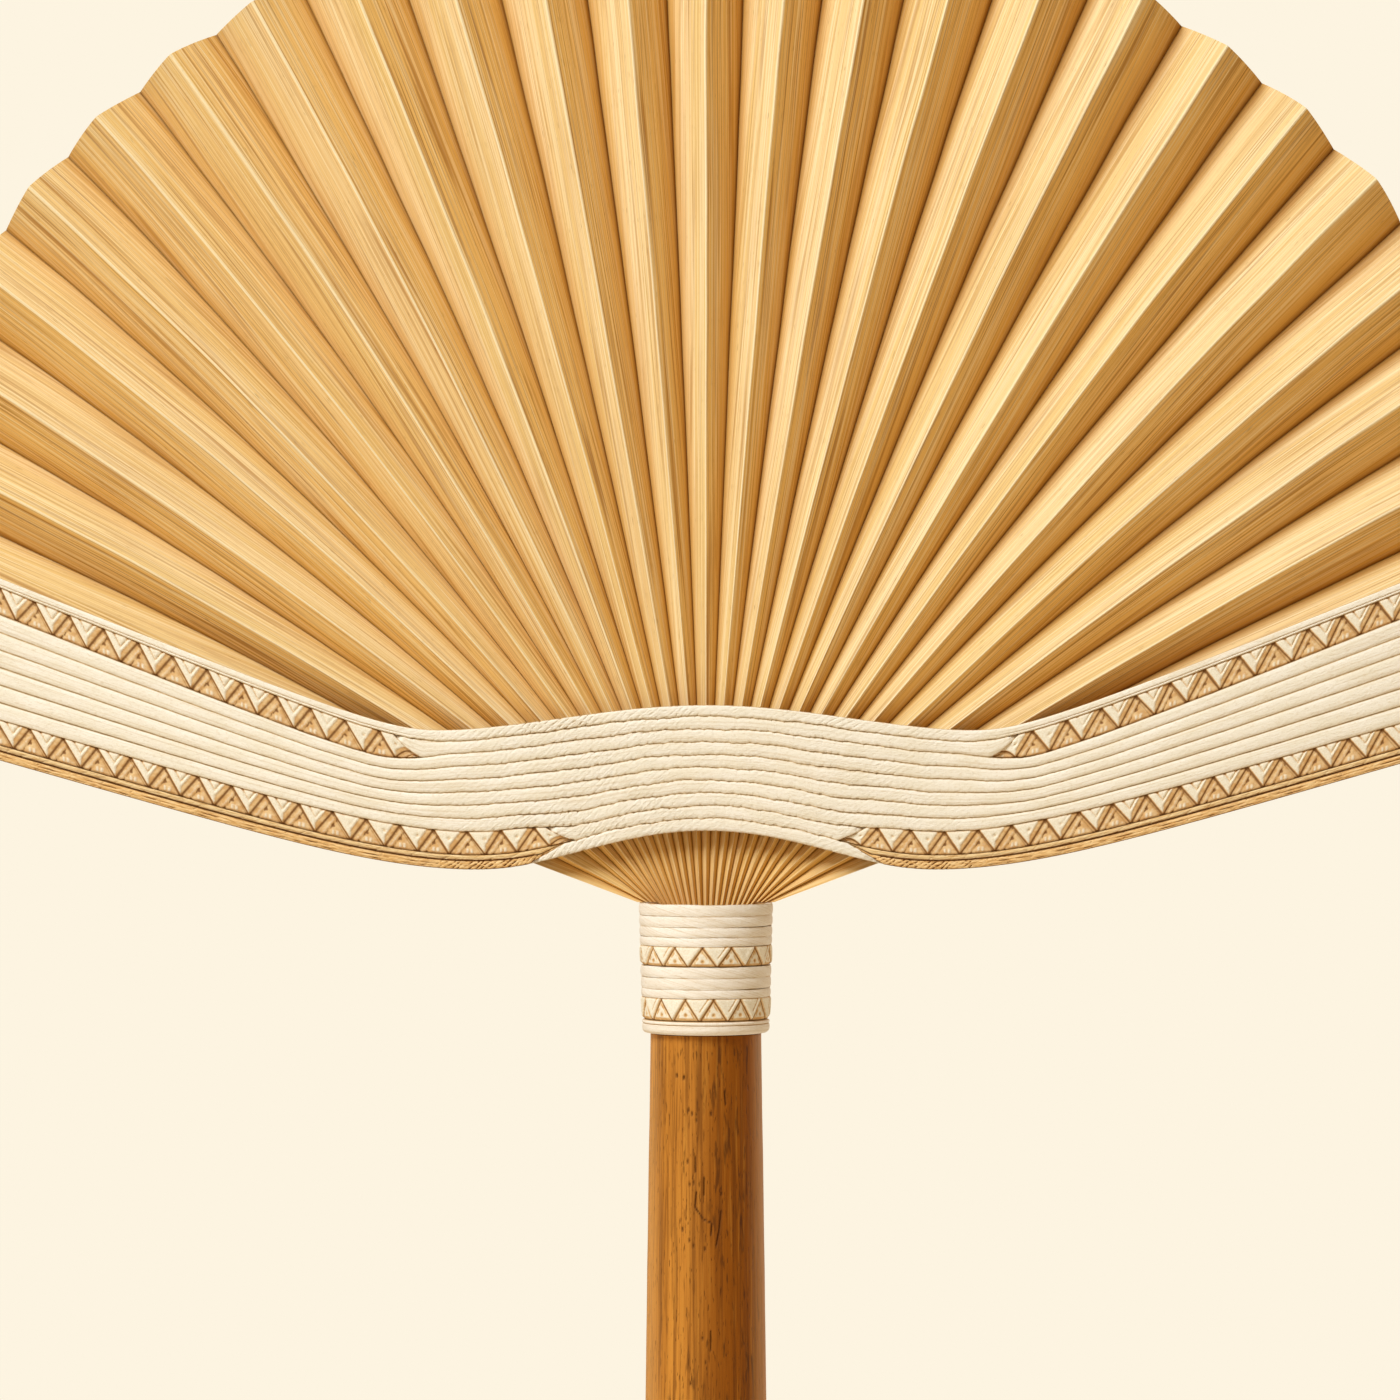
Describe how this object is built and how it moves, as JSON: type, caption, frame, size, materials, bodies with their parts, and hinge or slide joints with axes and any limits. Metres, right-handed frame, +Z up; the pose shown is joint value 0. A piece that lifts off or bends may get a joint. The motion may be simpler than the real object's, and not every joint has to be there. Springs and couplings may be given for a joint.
{
  "type": "bamboo hand fan",
  "caption": "Rigid hand fan: pleated half-round leaf of folded bamboo splints, curved band of laid cord with zigzag ornament across it, and a cord-bound collar on a tapered round handle.",
  "frame": {"origin": "centre of the flat on the handle's butt", "axes": "+Z up the handle to the top of the leaf, +X to the right seen from the decorated face, +Y out of the back"},
  "size_m": [0.2952, 0.0224, 0.324],
  "materials": {
    "handle_wood": "dark reddish-brown wood, hand-rubbed satin, dark vertical grain and small pores",
    "bamboo": "natural golden bamboo, planed, satin, fine grain along each splint",
    "cord": "cream paper cord with a loose twist, matt",
    "zigzag": "moulded cream and tan zigzag braid, matt, brown in its grooves",
    "edge_rope": "fine tan rope laid as an edging, matt",
    "board": "pale pressed paper board, matt"
  },
  "bodies": {
    "root": {"handle": "handle_wood", "root_tang": "bamboo", "root_peg_upper": "bamboo", "root_peg_lower": "bamboo", "collar_sleeve": "board", "collar_winding_upper": "cord", "collar_zigzag_upper": "zigzag", "collar_winding_middle": "cord", "collar_zigzag_lower": "zigzag", "collar_rim": "cord", "splint_01": "bamboo", "splint_02": "bamboo", "splint_03": "bamboo", "splint_04": "bamboo", "splint_05": "bamboo", "splint_06": "bamboo", "splint_07": "bamboo", "splint_08": "bamboo", "splint_09": "bamboo", "splint_10": "bamboo", "splint_11": "bamboo", "splint_12": "bamboo", "splint_13": "bamboo", "splint_14": "bamboo", "splint_15": "bamboo", "splint_16": "bamboo", "splint_17": "bamboo", "splint_18": "bamboo", "splint_19": "bamboo", "splint_20": "bamboo", "splint_21": "bamboo", "splint_22": "bamboo", "splint_23": "bamboo", "splint_24": "bamboo", "splint_25": "bamboo", "guard_splint_left": "bamboo", "guard_splint_right": "bamboo", "band_board_front": "board", "band_board_back": "board", "wing_core_left": "bamboo", "wing_core_right": "bamboo", "band_cord_01": "cord", "band_cord_02": "cord", "band_cord_03": "cord", "band_cord_04": "cord", "band_cord_05": "cord", "band_cord_06": "cord", "band_cord_07": "cord", "band_cord_08": "cord", "band_cord_09": "cord", "band_cord_10": "cord", "edge_rope_left": "edge_rope", "edge_rope_right": "edge_rope", "zigzag_upper_left": "zigzag", "zigzag_upper_right": "zigzag", "zigzag_lower_left": "zigzag", "zigzag_lower_right": "zigzag", "band_cords_back": "cord"}
  },
  "joints": []
}
